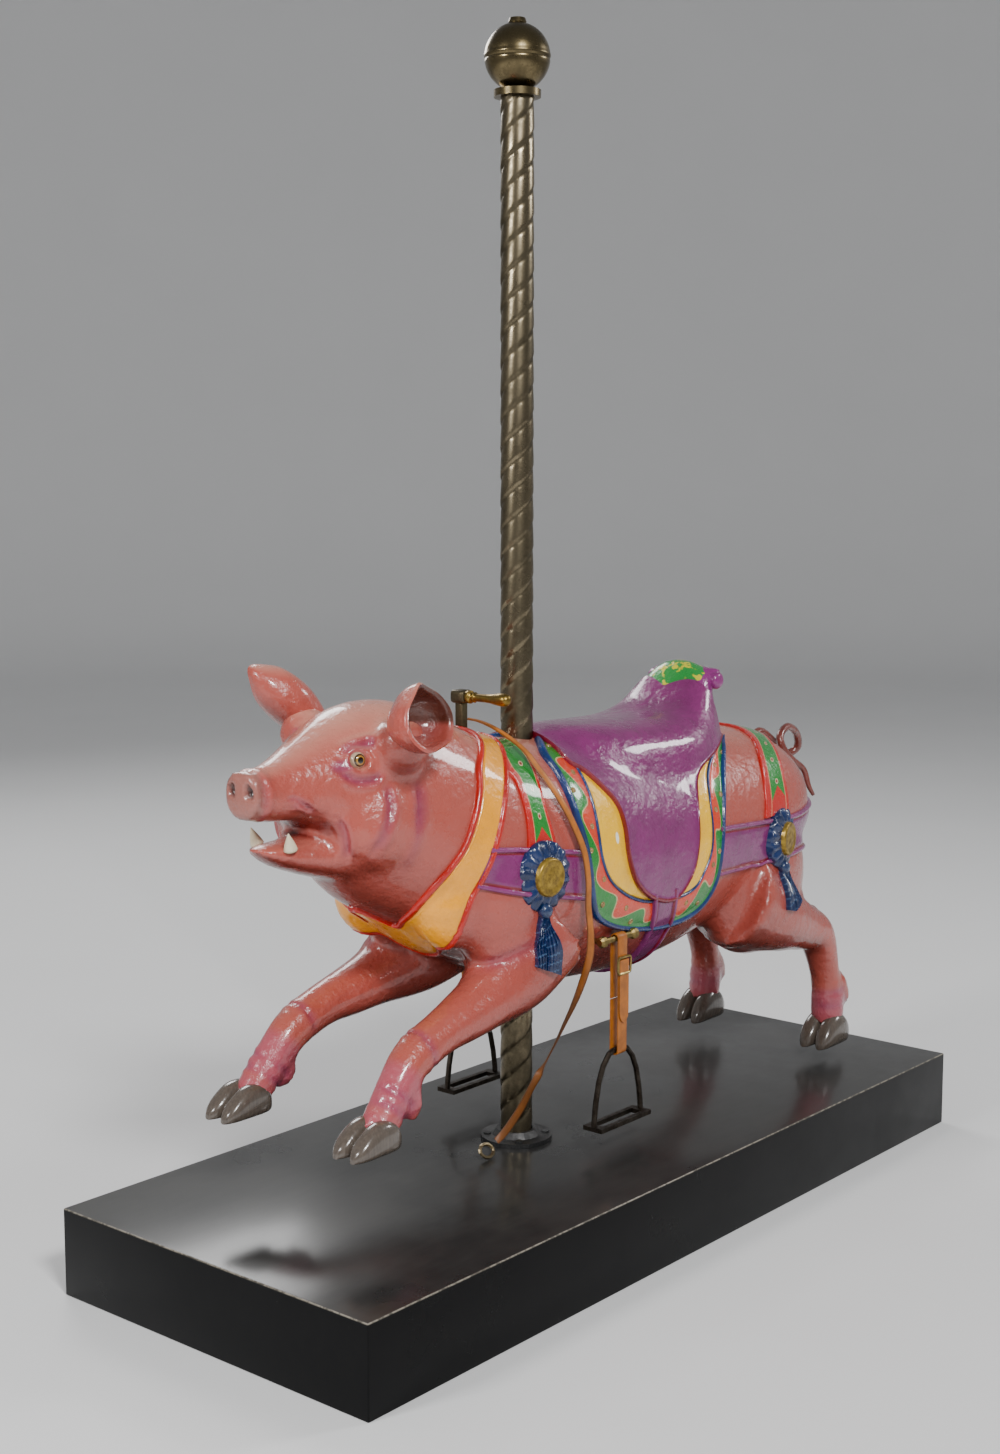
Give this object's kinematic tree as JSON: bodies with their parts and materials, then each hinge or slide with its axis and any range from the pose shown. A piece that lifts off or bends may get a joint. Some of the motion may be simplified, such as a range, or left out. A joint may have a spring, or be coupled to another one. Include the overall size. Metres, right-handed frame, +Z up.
{
  "type": "carousel pig on stand",
  "caption": "Carved and painted carousel pig leaping on a twisted brass pole, with saddle, stirrups, rein and black display stand.",
  "frame": {"origin": "middle of the stand's underside, on the floor", "axes": "+Z up along the pole, -X towards the pig's snout, -Y towards the pig's left side"},
  "size_m": [1.524, 0.61, 1.8595],
  "materials": {
    "stand_paint": "satin black paint",
    "flange_steel": "dark",
    "pole_brass": "aged, dark",
    "ball_brass": "aged, polished above",
    "pig_paint": "gloss varnish over paint",
    "eye_glass": "polished",
    "grip_bronze": "dark",
    "grip_brass": "worn bright",
    "rein_leather": "tan, darker below",
    "fitting_brass": "aged",
    "stirrup_leather": "tan",
    "stirrup_iron": "blackened"
  },
  "bodies": {
    "root": {"stand": "stand_paint", "pole_flange": "flange_steel", "pole": "pole_brass", "pole_ball": "ball_brass", "pig": "pig_paint", "eye_left": "eye_glass", "eye_right": "eye_glass", "grip_post": "grip_bronze", "grip_handle": "grip_brass", "rein": "rein_leather", "rein_snap": "fitting_brass", "stirrup_bar_left": "fitting_brass", "stirrup_bar_right": "fitting_brass", "stirrup_leather_left": "stirrup_leather", "stirrup_leather_right": "stirrup_leather", "stirrup_buckle_left": "fitting_brass", "stirrup_buckle_right": "fitting_brass", "stirrup_iron_left": "stirrup_iron", "stirrup_iron_right": "stirrup_iron"}
  },
  "joints": []
}
